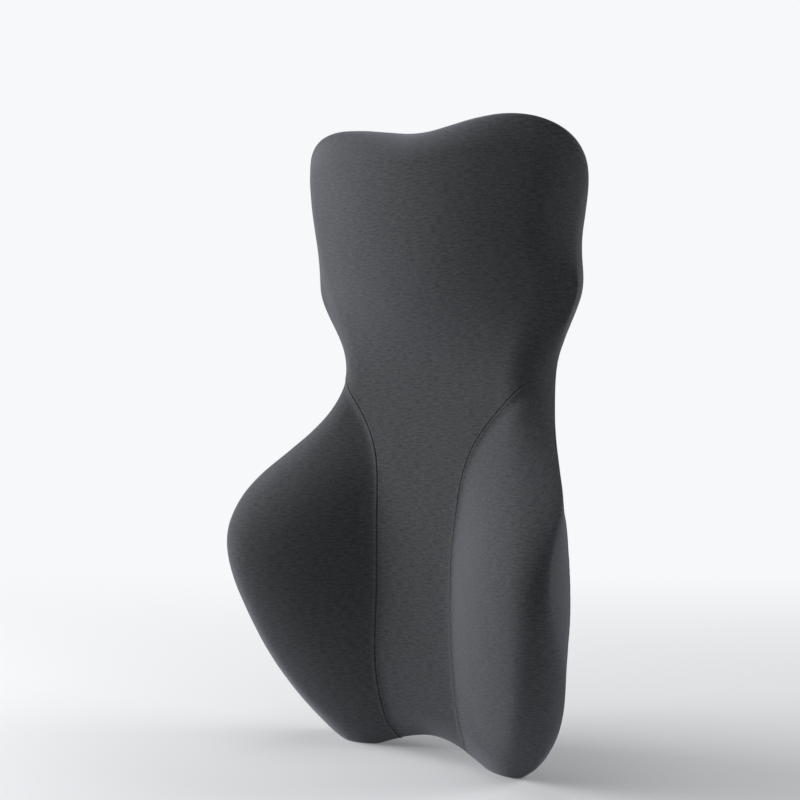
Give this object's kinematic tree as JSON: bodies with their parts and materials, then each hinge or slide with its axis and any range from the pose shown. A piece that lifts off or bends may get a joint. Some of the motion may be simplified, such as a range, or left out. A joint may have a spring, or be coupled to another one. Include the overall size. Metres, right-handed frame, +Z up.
{
  "type": "lumbar support cushion",
  "caption": "Tall moulded foam back cushion with forward-curving wings, a rounded head, two feet, a zipped knit cover and a buckled back strap.",
  "frame": {"origin": "middle of the bounding box's bottom face, on the surface that the two feet stand on", "axes": "+Z up along the cushion's height, -Y towards the person sitting (the front), +X to the cushion's right side as seen from the front"},
  "size_m": [0.3988, 0.1756, 0.66],
  "materials": {
    "cover": "matte",
    "foam": "matte",
    "liner": "matte",
    "tape": "matte",
    "coil": "satin",
    "zip_metal": "satin",
    "strap": "matte",
    "patch": "matte",
    "buckle": "satin"
  },
  "bodies": {
    "cushion": {"foam_core": "foam", "inner_liner": "liner", "front_centre_panel": "cover", "wing_panel_left": "cover", "wing_panel_right": "cover", "back_panel_left": "cover", "back_panel_right": "cover", "zip_tape_left": "tape", "zip_tape_right": "tape", "zip_coil_left": "coil", "zip_coil_right": "coil", "zip_top_stop": "zip_metal", "zip_bottom_stop": "zip_metal", "strap_left": "strap", "strap_right": "strap", "strap_anchor_left": "patch", "strap_anchor_right": "patch", "buckle_socket": "buckle"},
    "slider": {"zip_slider": "zip_metal"},
    "pull_tab": {"zip_pull_tab": "zip_metal"},
    "plug": {"buckle_plug": "buckle"},
    "adjuster": {"strap_adjuster": "buckle"},
    "keeper": {"strap_keeper": "strap"}
  },
  "joints": [
    {"name": "zip_slide", "type": "slide", "parent": "cushion", "child": "slider", "axis": [0, 0, -1], "range_m": [0, 0.245]},
    {"name": "pull_tab_hinge", "type": "hinge", "parent": "slider", "child": "pull_tab", "pos_m": [0, 0.08097, 0.3156], "axis": [1, 0, 0], "range_deg": [0, 175]},
    {"name": "plug_slide", "type": "slide", "parent": "cushion", "child": "plug", "axis": [1, 0, 0], "range_m": [0, 0.022], "deforming": ["strap_right"]},
    {"name": "adjuster_slide", "type": "slide", "parent": "cushion", "child": "adjuster", "axis": [1, 0, 0], "range_m": [-0.012, 0.003]},
    {"name": "keeper_slide", "type": "slide", "parent": "cushion", "child": "keeper", "axis": [1, 0, 0], "range_m": [-0.006, 0.003]}
  ]
}
